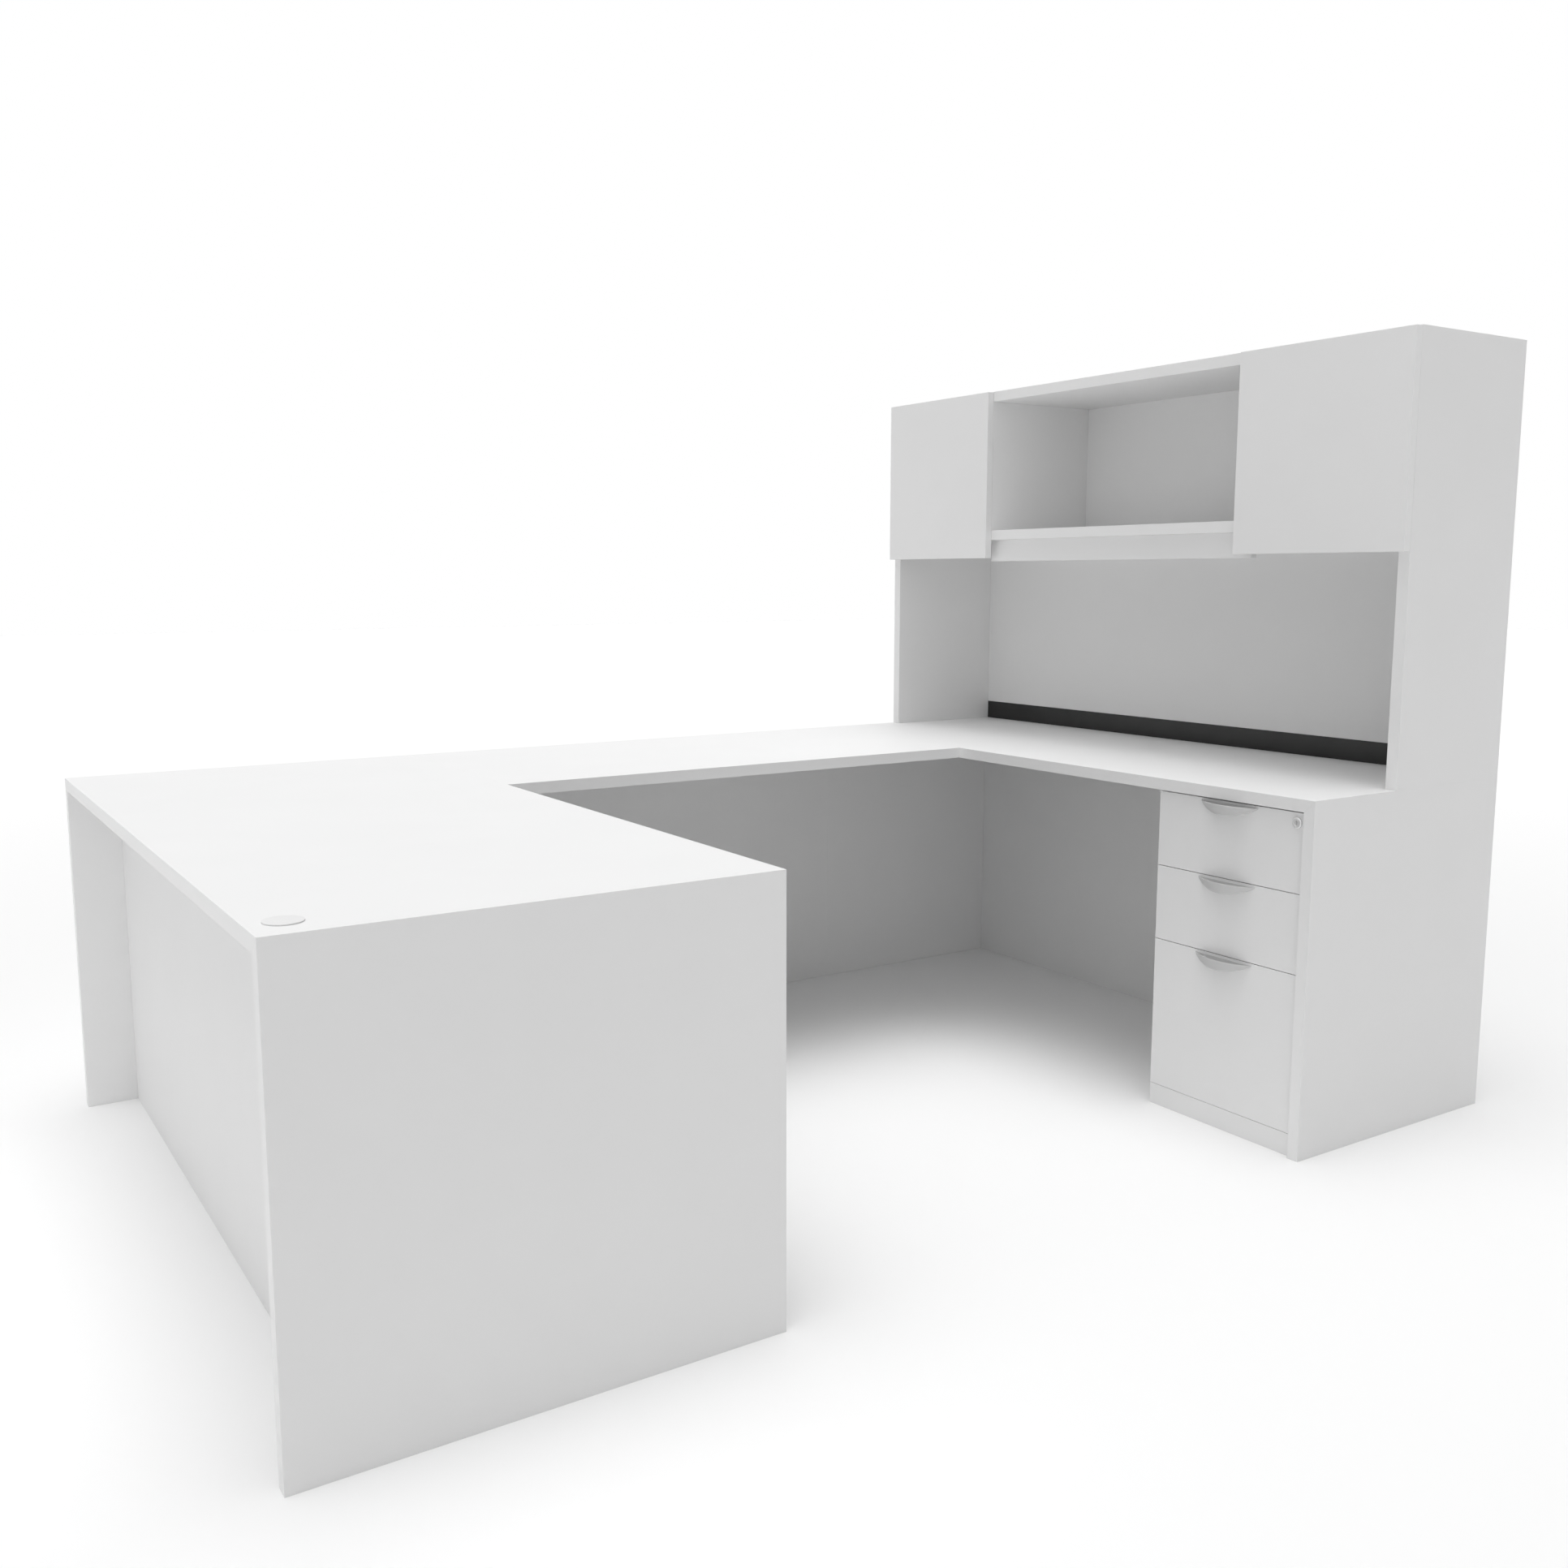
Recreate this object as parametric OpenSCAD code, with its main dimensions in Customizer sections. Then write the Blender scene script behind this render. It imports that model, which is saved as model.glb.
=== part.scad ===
// U-shaped office desk: main desk, bridge, credenza with drawer pedestal, and hutch.
// Millimetres. X runs across the desk, Y from the visitor's edge to the wall, Z up.

/* [Worktops] */
// Width of the main desk and of the credenza
unit_w = 1676.4; // [1560:0.1:1900]
// Depth of the main desk
desk_d = 762; // [650:0.1:900]
// Length of the bridge between main desk and credenza
bridge_l = 1219.2; // [900:0.1:1500]
// Width of the bridge worktop
bridge_w = 609.6; // [450:0.1:700]
// Depth of the credenza
credenza_d = 609.6; // [590:0.1:700]
// Height of the worktops above the floor
top_h = 730.25; // [700:0.05:780]
// Thickness of the worktops
top_t = 25.4; // [22:0.1:32]

/* [Panels] */
// Thickness of the end panels, mitred to the worktops
end_t = 25.4; // [24:0.1:32]
// Thickness of the modesty panels and the credenza back
panel_t = 19.05; // [15:0.05:22]
// Distance from the visitor's edge to the desk's modesty panel
modesty_set = 101.6; // [90:0.1:200]

/* [Hutch] */
// Height of the hutch above the worktop
hutch_h = 914.4; // [860:0.1:1000]
// Depth of the hutch carcass without its doors
hutch_d = 355.6; // [300:0.1:400]
// Thickness of the hutch sides
hutch_side_t = 25.4; // [25:0.1:30]
// Thickness of the hutch top
hutch_top_t = 25.4; // [16:0.1:30]
// Thickness of the hutch shelf
shelf_t = 25.4; // [16:0.1:30]
// Clear height of the compartments above the shelf
bay_h = 336.55; // [300:0.05:380]
// Clear width of the open middle bay
bay_w = 828.4; // [600:0.1:1000]
// Thickness of the two dividers
divider_t = 19.05; // [15:0.05:25]
// Height of the valance under the shelf
valance_h = 56.3; // [30:0.1:90]
// Thickness of the valance
valance_t = 19.05; // [12:0.05:25]
// Distance from the shelf's front edge back to the valance
valance_set = 19.05; // [5:0.05:40]
// Thickness of the hutch back
hutch_back_t = 9.5; // [6:0.1:16]
// Height of the black cable strip along the worktop
strip_h = 50.8; // [30:0.1:80]
// Wall of the cable strip's channel section
strip_wall = 2; // [1:0.1:3]

/* [Doors] */
// Thickness of the doors
door_t = 19.05; // [16:0.05:22]
// Height of the doors
door_h = 433.65; // [400:0.05:460]
// Distance from the top of the hutch down to the doors
door_top_gap = 2; // [1:0.1:5]
// Space between a closed door and the carcass
door_gap = 0.5; // [0.3:0.1:0.9]
// Radius of the hinge cups
cup_r = 17.5; // [15:0.1:18]
// Depth of the hinge cups
cup_h = 12; // [10:0.1:13]
// Distance from a door's outer edge to the centre of its hinge cups
cup_set = 30; // [29:0.1:34]
// Distance from shelf and top to the centres of the hinges
hinge_in = 60; // [45:0.1:90]

/* [Pedestal] */
// Width of the pedestal, from its side's outer face to the end panel
ped_w = 376.6; // [360:0.1:450]
// Thickness of the pedestal side and bottom
ped_side_t = 15.9; // [15:0.1:19]
// Distance from the worktop's edge back to the drawer fronts
front_set = 10; // [5:0.1:25]
// Thickness of the drawer fronts and the plinth
front_t = 19.05; // [16:0.05:22]
// Height of the plinth
plinth_h = 46; // [45:0.1:70]
// Height of the top drawer's front
top_front_h = 161.5; // [130:0.1:170]
// Height of the middle drawer's front
mid_front_h = 162.1; // [130:0.1:175]
// Space between one front and the next
front_gap = 1.5; // [1.2:0.1:4]
// Space between the bottom drawer's front and the plinth
plinth_gap = 0.8; // [0.5:0.1:4]
// Space between the top drawer's front and the worktop
front_reveal = 4; // [3:0.1:12]

/* [Drawers] */
// Length of the drawer boxes
box_l = 500; // [400:0.1:520]
// Thickness of the drawer box boards
box_t = 12; // [10:0.1:13]
// Thickness of the drawer bottoms
box_bottom_t = 6; // [4:0.1:8]
// Height of a box's underside above the lower edge of its front
box_rise = 14; // [10:0.1:20]
// Space above the two upper boxes, up to the top edge of their fronts
box_head = 42; // [38:0.1:60]
// Space above the file drawer's box, for the hooks of hanging folders
file_head = 63.5; // [45:0.1:90]
// Thickness of the rails for hanging folders
rail_t = 1.6; // [1:0.1:2.5]
// Depth to which those rails clasp the box sides
rail_h = 14; // [8:0.1:20]
// Space taken by a drawer slide on each side of a box
slide_w = 12.7; // [12.5:0.1:14]
// Height of the drawer slides
slide_h = 45; // [35:0.1:46]
// Sheet thickness of the drawer slides
slide_t = 1.2; // [1:0.1:1.6]
// Play between the nested members of a slide
slide_play = 0.4; // [0.3:0.05:0.7]
// Height of a slide's centre line above the underside of its box
slide_rise = 40; // [30:0.1:45]

/* [Pulls] */
// Length of the scoop-shaped pulls
pull_l = 149; // [130:0.1:200]
// Distance that a pull's bowl stands out
pull_p = 26.3; // [25:0.1:34]
// Height of a pull's bowl
pull_h = 23; // [22:0.1:30]
// Wall of a pull
pull_wall = 2.5; // [2:0.1:4]
// Distance from a front's top edge down to its pull's rim
pull_drop = 4.9; // [4:0.1:12]
// Distance between a pull's two screws
pull_span = 96; // [64:0.1:100]
// Radius of a pull's screw posts
post_r = 4; // [3.5:0.1:5]
// Length of a pull's screw posts
post_l = 10; // [9:0.1:12]

/* [Lock] */
// Distance from the end panel to the lock's centre
lock_in = 19.6; // [16:0.1:30]
// Distance from the front's top edge down to the lock's centre
lock_drop = 19.85; // [14:0.05:22]
// Radius of the lock's rim
lock_rim_r = 11; // [9:0.1:12]
// Distance that the rim stands out
lock_rim_h = 5; // [2:0.1:6]
// Radius of the lock's barrel in the drawer front
lock_barrel_r = 8; // [7.5:0.1:8.5]
// Radius of the turning plug
plug_r = 5.5; // [5:0.1:6]
// Width of the cam
cam_w = 12; // [10:0.1:14]
// Reach of the cam from the lock's centre
cam_l = 19; // [17:0.1:20]
// Thickness of the cam
cam_t = 2; // [1.5:0.1:3]

/* [Grommet] */
// Distance from the desk's side to the grommet's centre
grommet_in_x = 67.7; // [62:0.1:120]
// Distance from the visitor's edge to the grommet's centre
grommet_in_y = 49.6; // [35:0.1:60]
// Radius of the grommet's flange and cap
grommet_rim_r = 26.5; // [25:0.1:33]
// Radius of the grommet's sleeve
sleeve_r = 25; // [22:0.1:25.2]
// Wall of the sleeve
sleeve_wall = 1.2; // [1.2:0.1:3]
// Thickness of the flange
flange_t = 0.8; // [0.6:0.1:2]
// Thickness of the cap
cap_t = 1.2; // [1:0.1:3]

/* [Hardware] */
// Radius of the levelling glides
glide_r = 9; // [6:0.1:10]
// Thickness of a glide's foot
glide_h = 5; // [3:0.1:8]
// Length of a glide's stem
glide_stem_l = 20; // [12:0.1:30]
// Radius of a glide's stem
glide_stem_r = 4; // [3:0.1:5]
// Distance from an end panel's edge to its glides
glide_in = 60; // [30:0.1:120]
// Length of a corner bracket's legs
bracket_l = 38; // [34:0.1:50]
// Width of a corner bracket
bracket_w = 30; // [20:0.1:40]
// Thickness of the steel brackets and plates
steel_t = 2; // [1.5:0.1:3]
// Length of a joining plate across its seam
plate_l = 110; // [90:0.1:160]
// Radius of a wood screw's shank
screw_r = 2; // [1.5:0.1:2.4]
// Length of a wood screw
screw_l = 14; // [10:0.1:16]
// Radius of a screw's head
head_r = 4; // [3.5:0.1:5]
// Height of a screw's head
head_h = 2.2; // [1.5:0.1:3]
// Radius of the dowels between hutch and worktop
dowel_r = 4; // [3:0.1:5]
// Length of those dowels
dowel_l = 28; // [24:0.1:40]

/* [Hidden] */

$fn = 48;

// Overrun of a cut past the face that it opens
over = 1;
// Radial room of a turned piece in its hole
fit = 0.05;
// Radial room of a screw or a stem in its hole
loose_fit = 0.3;
// Glue line between the boards of a drawer box
glue_gap = 0.1;

// Lines across the depth, from the visitor's edge to the wall
total_d = desk_d + bridge_l + credenza_d;
y_visitor = -total_d / 2;
y_desk = y_visitor + desk_d;
y_credenza = y_desk + bridge_l;
y_wall = total_d / 2;
y_modesty = y_visitor + modesty_set;
y_back = y_wall - panel_t;

// Lines across the width and up the height
half_w = unit_w / 2;
end_in = half_w - end_t;
under_z = top_h - top_t;
bridge_edge = -half_w + bridge_w;

// Hutch
hutch_z = top_h + hutch_h;
roof_z = hutch_z - hutch_top_t;
shelf_z = roof_z - bay_h;
shelf_under = shelf_z - shelf_t;
strip_z = top_h + strip_h;
carcass_y = y_wall - hutch_d;
hutch_in = half_w - hutch_side_t;
hutch_back_y = y_wall - hutch_back_t;
bay_in = bay_w / 2;
divider_out = bay_in + divider_t;
valance_y = carcass_y + valance_set;

// Doors and hinges
door_back_y = carcass_y - door_gap;
door_y = door_back_y - door_t;
door_top_z = hutch_z - door_top_gap;
hinge_zs = [shelf_z + hinge_in, roof_z - hinge_in];
cup_x = half_w - cup_set;
// Wall of a hinge cup
cup_wall = 1;
// Height, width and thickness of the plate that a cup hangs from, let into the door
cup_plate_h = 52;
cup_plate_w = 16;
cup_plate_t = 1;
// Hinge arm: thickness, height of its body and of its nose, and the nose's depth in the cup
arm_t = 9;
arm_h = 14;
arm_nose_h = 10;
arm_reach = 9;
// Length of the arm behind the carcass's front edge
arm_l = 48;
// Mounting plate of a hinge, on the hutch side
hinge_plate_h = 48;
hinge_plate_w = 18;
hinge_plate_t = 5;
// Distance from the carcass's front edge to the plate's centre
hinge_plate_set = 37;
// Distance from a hinge's centre to the screws of its plate
hinge_screw_in = 16;
arm_x = hutch_in - hinge_plate_t - glue_gap;
arm_y = door_back_y - arm_reach;
hinge_plate_y = carcass_y + hinge_plate_set;

// Pedestal
ped_x = end_in - ped_w;
ped_in = ped_x + ped_side_t;
front_y = y_credenza + front_set;
box_y = front_y + front_t;
// Space between a closed drawer front and the pedestal side
close_gap = 0.5;
// Space between the drawer fronts and the end panel
front_side_gap = 1.5;
front_x1 = end_in - front_side_gap;

// Drawer heights from the floor up, in the order top, middle, bottom
low_front_z = plinth_h + plinth_gap;
low_front_h = under_z - front_reveal - top_front_h - mid_front_h - 2 * front_gap - low_front_z;
mid_front_z = low_front_z + low_front_h + front_gap;
top_front_z = mid_front_z + mid_front_h + front_gap;
front_hs = [top_front_h, mid_front_h, low_front_h];
front_zs = [top_front_z, mid_front_z, low_front_z];
box_heads = [box_head, box_head, file_head];
function front_top(i) = front_zs[i] + front_hs[i];
function box_z(i) = front_zs[i] + box_rise;
function box_top(i) = front_top(i) - box_heads[i];

// Drawer boxes
box_x0 = ped_in + slide_w;
box_x1 = end_in - slide_w;
box_end_y = box_y + box_l;
// Depth to which a wood screw holds in a board
screw_bite = 10;
// Places of the screws through a box's inner front, across and up
box_screw_shares = [0.25, 0.75];

// Slides: nested channels, from the cabinet towards the box
slide_step = slide_t + slide_play;
// Distance that a slide stands back from its drawer's front
slide_set = 3;
// Width of the outer channel, as a share of the slide's width
outer_channel_share = 0.62;
outer_channel_w = slide_w * outer_channel_share;
middle_channel_w = slide_w - 2 * slide_step;
middle_channel_h = slide_h - 2 * slide_step;
inner_channel_w = slide_w - 2 * slide_step;
inner_channel_h = middle_channel_h - 2 * slide_step;

// Pulls: the bowl's arcs, seen from above and from the front, follow from its length and its depths
function arc_r(depth) = (pull_l * pull_l / 4 + depth * depth) / (2 * depth);
pull_plan_r = arc_r(pull_p);
pull_face_r = arc_r(pull_h);
pull_x = (ped_x + front_x1) / 2;
// Thickness of a pull's back
pull_back_t = 1.5;
// Distance from the rim down to the screws, and how deep these hold in the posts
pull_post_drop = 8;
pull_bite = 8;
pull_screw_l = front_t + pull_bite;
function pull_z(i) = front_top(i) - pull_drop;
function pull_screw_z(i) = pull_z(i) - pull_post_drop;

// Lock
lock_x = end_in - lock_in;
lock_z = top_front_z + top_front_h - lock_drop;
// Length of the barrel behind the drawer front
lock_tail = 3;
// Space between the barrel and the cam
lock_cam_gap = 0.5;
lock_rear_y = box_y + lock_tail;
cam_y = lock_rear_y + lock_cam_gap;
// Radius and length of the stub that carries the cam
cam_stub_r = 3;
cam_stub_l = 3;
// Depth of the plug's face in the rim
plug_face_set = 0.8;
key_slot_w = 1.2;
key_slot_l = 7;
key_slot_d = 3;
// Steel angle under the worktop, behind which the cam turns up
keeper_gap = 0.8;
keeper_w = 36;
keeper_h = 12.5;
keeper_l = 20;
keeper_t = 1.5;
keeper_screw_in = 14;
keeper_screw_span = 24;
keeper_y = cam_y - keeper_gap - keeper_t;

// Grommet
grommet_x = half_w - grommet_in_x;
grommet_y = y_visitor + grommet_in_y;
sleeve_in_r = sleeve_r - sleeve_wall;
// Distance from the worktop's underside up to the sleeve's end
sleeve_up = 1.4;
cap_spigot_r = sleeve_in_r - loose_fit;
cap_spigot_h = 3.6;
// Width of the bevel round the cap
cap_bevel = 0.5;

// Brackets, each [x, y, turn of its level leg], placed by shares of what carries them
bracket_hole = 25;
wide_shares = [-0.68, 0, 0.68];
rear_shares = [-0.68, 0];
bridge_shares = [0.2, 0.8];
desk_end_shares = [0.4, 0.8];
credenza_end_shares = [0.3, 0.75];
bracket_spots = concat(
    [for (share = wide_shares) [share * end_in, y_modesty + panel_t, 90]],
    [for (share = rear_shares) [share * end_in, y_back, -90]],
    [for (share = bridge_shares) [-end_in, y_desk + share * bridge_l, 0]],
    [for (share = desk_end_shares) [-end_in, y_visitor + share * desk_d, 0]],
    [for (share = desk_end_shares) [end_in, y_visitor + share * desk_d, 180]],
    [for (share = credenza_end_shares) [-end_in, y_credenza + share * credenza_d, 0]],
    [for (share = credenza_end_shares) [ped_x, y_credenza + share * credenza_d, 180]]
);

// Joining plates under the two seams of the bridge
plate_w = 38;
plate_x_shares = [0.25, 0.75];
plate_hole_shares = [-0.4, -0.2, 0.2, 0.4];
plate_spots = [
    for (share = plate_x_shares, y = [y_desk, y_credenza]) [-half_w + share * bridge_w, y]
];

// Dowels between the hutch sides and the worktop
dowel_in = 8;
dowel_sink = 10;
dowel_shares = [0.2, 0.8];

// Glides, in the middle of the end panels' lower edges
glide_x = half_w - end_t / 2;

// A board between its lowest and its highest corner
module board(low, high) {
    translate(low) cube(high - low);
}

// An outline in X and Z, drawn out between two places in Y
module prism_y(y0, y1) {
    translate([0, y1, 0]) rotate([90, 0, 0]) linear_extrude(y1 - y0) children();
}

// Once as drawn, at the right, and once mirrored, at the left
module both_sides() {
    children();
    mirror([1, 0, 0]) children();
}

// A worktop whose two ends are mitred to end panels
module mitred_top(y0, y1) {
    prism_y(y0, y1) polygon([
        [-half_w, top_h], [half_w, top_h], [end_in, under_z], [-end_in, under_z]
    ]);
}

// The right-hand end panel of a worktop, bored for two glides
module mitred_end(y0, y1) {
    difference() {
        prism_y(y0, y1) polygon([[end_in, 0], [half_w, 0], [half_w, top_h], [end_in, under_z]]);
        glide_pair(y0, y1, loose_fit);
    }
}

// The two glides of an end panel or, with room added, the holes that take them
module glide_pair(y0, y1, room) {
    for (y = [y0 + glide_in, y1 - glide_in]) translate([glide_x, y, -room]) {
        cylinder(h = glide_h + 2 * room, r = glide_r + room);
        cylinder(h = glide_h + glide_stem_l + 2 * room, r = glide_stem_r + room);
    }
}

// A screw with its head above the origin and its shank below
module screw(l, r) {
    cylinder(h = head_h, r = head_r);
    translate([0, 0, -l]) cylinder(h = l, r = r);
}

module corner_bracket() {
    difference() {
        union() {
            board([0, -bracket_w / 2, -bracket_l], [steel_t, bracket_w / 2, 0]);
            board([0, -bracket_w / 2, -steel_t], [bracket_l, bracket_w / 2, 0]);
        }
        translate([bracket_hole, 0, -steel_t - over])
            cylinder(h = steel_t + 2 * over, r = screw_r + loose_fit);
        translate([-over, 0, -bracket_hole]) rotate([0, 90, 0])
            cylinder(h = steel_t + 2 * over, r = screw_r + loose_fit);
    }
}

module corner_bracket_screws() {
    translate([bracket_hole, 0, -steel_t]) rotate([180, 0, 0]) screw(screw_l, screw_r);
    translate([steel_t, 0, -bracket_hole]) rotate([0, 90, 0]) screw(screw_l, screw_r);
}

module each_bracket() {
    for (spot = bracket_spots) translate([spot[0], spot[1], under_z]) rotate([0, 0, spot[2]])
        children();
}

module joining_plate() {
    difference() {
        board([-plate_w / 2, -plate_l / 2, -steel_t], [plate_w / 2, plate_l / 2, 0]);
        for (share = plate_hole_shares) translate([0, share * plate_l, -steel_t - over])
            cylinder(h = steel_t + 2 * over, r = screw_r + loose_fit);
    }
}

module joining_plate_screws() {
    for (share = plate_hole_shares) translate([0, share * plate_l, -steel_t])
        rotate([180, 0, 0]) screw(screw_l, screw_r);
}

module each_plate() {
    for (spot = plate_spots) translate([spot[0], spot[1], under_z]) children();
}

// The right-hand dowels or, with room added, their holes
module dowel_pair(room) {
    for (share = dowel_shares)
        translate([hutch_in + dowel_in, carcass_y + share * hutch_d, top_h - dowel_sink - room])
            cylinder(h = dowel_l + 2 * room, r = dowel_r + room);
}

module hutch_side() {
    difference() {
        board([hutch_in, carcass_y, top_h], [half_w, y_wall, hutch_z]);
        dowel_pair(fit);
    }
}

// Channel section of a slide member, with its web at the left
module channel(w, h) {
    difference() {
        translate([0, -h / 2]) square([w, h]);
        translate([slide_t, slide_t - h / 2]) square([w, h - 2 * slide_t]);
    }
}

// Draws a slide section out at both sides of a drawer
module slide_pair(i) {
    z = box_z(i) + slide_rise;
    prism_y(box_y + slide_set, box_end_y) translate([ped_in, z]) children();
    prism_y(box_y + slide_set, box_end_y) translate([end_in, z]) mirror([1, 0]) children();
}

module slide_middle_members(i) {
    slide_pair(i) translate([slide_step, 0]) channel(middle_channel_w, middle_channel_h);
}

module slide_drawer_members(i) {
    slide_pair(i) translate([slide_w, 0]) mirror([1, 0])
        channel(inner_channel_w, inner_channel_h);
}

// The two holes for a pull's screws are bored through the front
module drawer_front(i) {
    difference() {
        board([ped_x, front_y, front_zs[i]], [front_x1, box_y, front_top(i)]);
        for (side = [-1, 1])
            translate([pull_x + side * pull_span / 2, box_y + over, pull_screw_z(i)])
                rotate([90, 0, 0]) cylinder(h = front_t + 2 * over, r = screw_r + loose_fit);
    }
}

// Two sides, an inner front and a back, which stand on the drawer's bottom
module drawer_box(i) {
    z0 = box_z(i) + box_bottom_t;
    z1 = box_top(i);
    inner_x0 = box_x0 + box_t + glue_gap;
    inner_x1 = box_x1 - box_t - glue_gap;
    board([box_x0, box_y, z0], [box_x0 + box_t, box_end_y, z1]);
    board([box_x1 - box_t, box_y, z0], [box_x1, box_end_y, z1]);
    board([inner_x0, box_y, z0], [inner_x1, box_y + box_t, z1]);
    board([inner_x0, box_end_y - box_t, z0], [inner_x1, box_end_y, z1]);
}

module drawer_bottom(i) {
    board([box_x0, box_y, box_z(i)], [box_x1, box_end_y, box_z(i) + box_bottom_t]);
}

// What an arc seen from above and an arc seen from the front have in common; inset moves both
// inwards, and room lets the bowl run on past its rim
module bowl(inset, room) {
    intersection() {
        translate([0, pull_plan_r - pull_p, inset - pull_h])
            cylinder(h = pull_h - inset + room, r = pull_plan_r - inset);
        translate([0, 0, pull_face_r - pull_h]) rotate([90, 0, 0])
            cylinder(h = pull_p, r = pull_face_r - inset);
    }
}

// An open-topped scoop with a thin back and two posts for its screws
module drawer_pull(i) {
    translate([pull_x, front_y, pull_z(i)]) difference() {
        union() {
            difference() {
                bowl(0, 0);
                intersection() {
                    bowl(pull_wall, over);
                    board([-pull_l, -pull_p, -pull_h], [pull_l, -pull_back_t, over]);
                }
            }
            for (side = [-1, 1]) translate([side * pull_span / 2, 0, -pull_post_drop])
                rotate([90, 0, 0]) cylinder(h = post_l, r = post_r);
        }
        for (side = [-1, 1]) translate([side * pull_span / 2, over, -pull_post_drop])
            rotate([90, 0, 0]) cylinder(h = pull_bite + over, r = screw_r + fit);
    }
}

// Two screws for the pull, and four that hold the front to the box
module drawer_screws(i) {
    for (side = [-1, 1])
        translate([pull_x + side * pull_span / 2, box_y, pull_screw_z(i)]) rotate([-90, 0, 0])
            screw(pull_screw_l - fit, screw_r);
    for (across = box_screw_shares, up = box_screw_shares)
        translate([
            box_x0 + across * (box_x1 - box_x0),
            box_y + box_t,
            box_z(i) + up * (box_top(i) - box_z(i))
        ]) rotate([-90, 0, 0]) screw(box_t + screw_bite, screw_r);
}

// A hinge's cup and its plate, from the door's back face into the door
module cup_body(room) {
    rotate([90, 0, 0]) cylinder(h = cup_h + room, r = cup_r + room);
    board(
        [-cup_plate_w / 2 - room, -cup_plate_t - room, -cup_plate_h / 2 - room],
        [cup_plate_w / 2 + room, 0, cup_plate_h / 2 + room]
    );
}

module each_hinge() {
    for (z = hinge_zs) translate([0, 0, z]) children();
}

module hinge_cup_pair() {
    each_hinge() translate([cup_x, door_back_y, 0]) difference() {
        cup_body(0);
        translate([0, over, 0]) rotate([90, 0, 0])
            cylinder(h = cup_h - cup_wall + over, r = cup_r - cup_wall);
    }
}

module door() {
    difference() {
        board([bay_in, door_y, door_top_z - door_h], [half_w, door_back_y, door_top_z]);
        each_hinge() translate([cup_x, door_back_y, 0]) cup_body(fit);
    }
}

// A straight arm whose nose stands in the cup, and the plate that carries it
module hinge_arm() {
    board([arm_x - arm_t, carcass_y, -arm_h / 2], [arm_x, carcass_y + arm_l, arm_h / 2]);
    board([arm_x - arm_t, arm_y, -arm_nose_h / 2], [arm_x, carcass_y, arm_nose_h / 2]);
}

module hinge_plate() {
    difference() {
        board(
            [hutch_in - hinge_plate_t, hinge_plate_y - hinge_plate_w / 2, -hinge_plate_h / 2],
            [hutch_in, hinge_plate_y + hinge_plate_w / 2, hinge_plate_h / 2]
        );
        for (side = [-1, 1])
            translate([hutch_in - hinge_plate_t - over, hinge_plate_y, side * hinge_screw_in])
                rotate([0, 90, 0]) cylinder(h = hinge_plate_t + 2 * over, r = screw_r + loose_fit);
    }
}

module hinge_plate_screws() {
    for (side = [-1, 1])
        translate([hutch_in - hinge_plate_t, hinge_plate_y, side * hinge_screw_in])
            rotate([0, -90, 0]) screw(hinge_plate_t + screw_bite, screw_r);
}

module keeper_screw_places() {
    for (side = [-1, 1]) translate([
        lock_x + side * keeper_screw_span / 2, keeper_y + keeper_screw_in, under_z - keeper_t
    ]) children();
}

// Main desk
module desk_top() {
    color("white") difference() {
        mitred_top(y_visitor, y_desk);
        translate([grommet_x, grommet_y, under_z - over])
            cylinder(h = top_t + 2 * over, r = sleeve_r + loose_fit);
    }
}

module desk_right_end() {
    color("gainsboro") mitred_end(y_visitor, y_desk);
}

module desk_left_end() {
    color("gainsboro") mirror([1, 0, 0]) mitred_end(y_visitor, y_desk);
}

module desk_modesty() {
    color("whitesmoke") board([-end_in, y_modesty, 0], [end_in, y_modesty + panel_t, under_z]);
}

// Bridge
module bridge_top() {
    color("white") board([-half_w, y_desk, under_z], [bridge_edge, y_credenza, top_h]);
}

module bridge_modesty() {
    color("gainsboro") board([-end_in - panel_t, y_desk, 0], [-end_in, y_credenza, under_z]);
}

// Credenza
module credenza_top() {
    color("white") difference() {
        mitred_top(y_credenza, y_wall);
        both_sides() dowel_pair(fit);
    }
}

module credenza_right_end() {
    color("gainsboro") mitred_end(y_credenza, y_wall);
}

module credenza_left_end() {
    color("gainsboro") mirror([1, 0, 0]) mitred_end(y_credenza, y_wall);
}

module credenza_back() {
    color("gainsboro") board([-end_in, y_back, 0], [end_in, y_wall, under_z]);
}

// Hardware
module levelling_glides() {
    color("dimgray") both_sides() {
        glide_pair(y_visitor, y_desk, 0);
        glide_pair(y_credenza, y_wall, 0);
    }
}

module corner_brackets() {
    color("silver") each_bracket() corner_bracket();
}

module joining_plates() {
    color("silver") each_plate() joining_plate();
}

module fixing_screws() {
    color("silver") {
        each_bracket() corner_bracket_screws();
        each_plate() joining_plate_screws();
        both_sides() each_hinge() hinge_plate_screws();
        keeper_screw_places() rotate([180, 0, 0]) screw(keeper_t + screw_bite, screw_r);
    }
}

module hutch_dowels() {
    color("burlywood") both_sides() dowel_pair(0);
}

// Grommet in the main desk's corner
module grommet_liner() {
    color("whitesmoke") translate([grommet_x, grommet_y, 0]) difference() {
        union() {
            translate([0, 0, under_z + sleeve_up])
                cylinder(h = top_t - sleeve_up + flange_t, r = sleeve_r);
            translate([0, 0, top_h]) cylinder(h = flange_t, r = grommet_rim_r);
        }
        translate([0, 0, under_z]) cylinder(h = top_t + flange_t + over, r = sleeve_in_r);
    }
}

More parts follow.
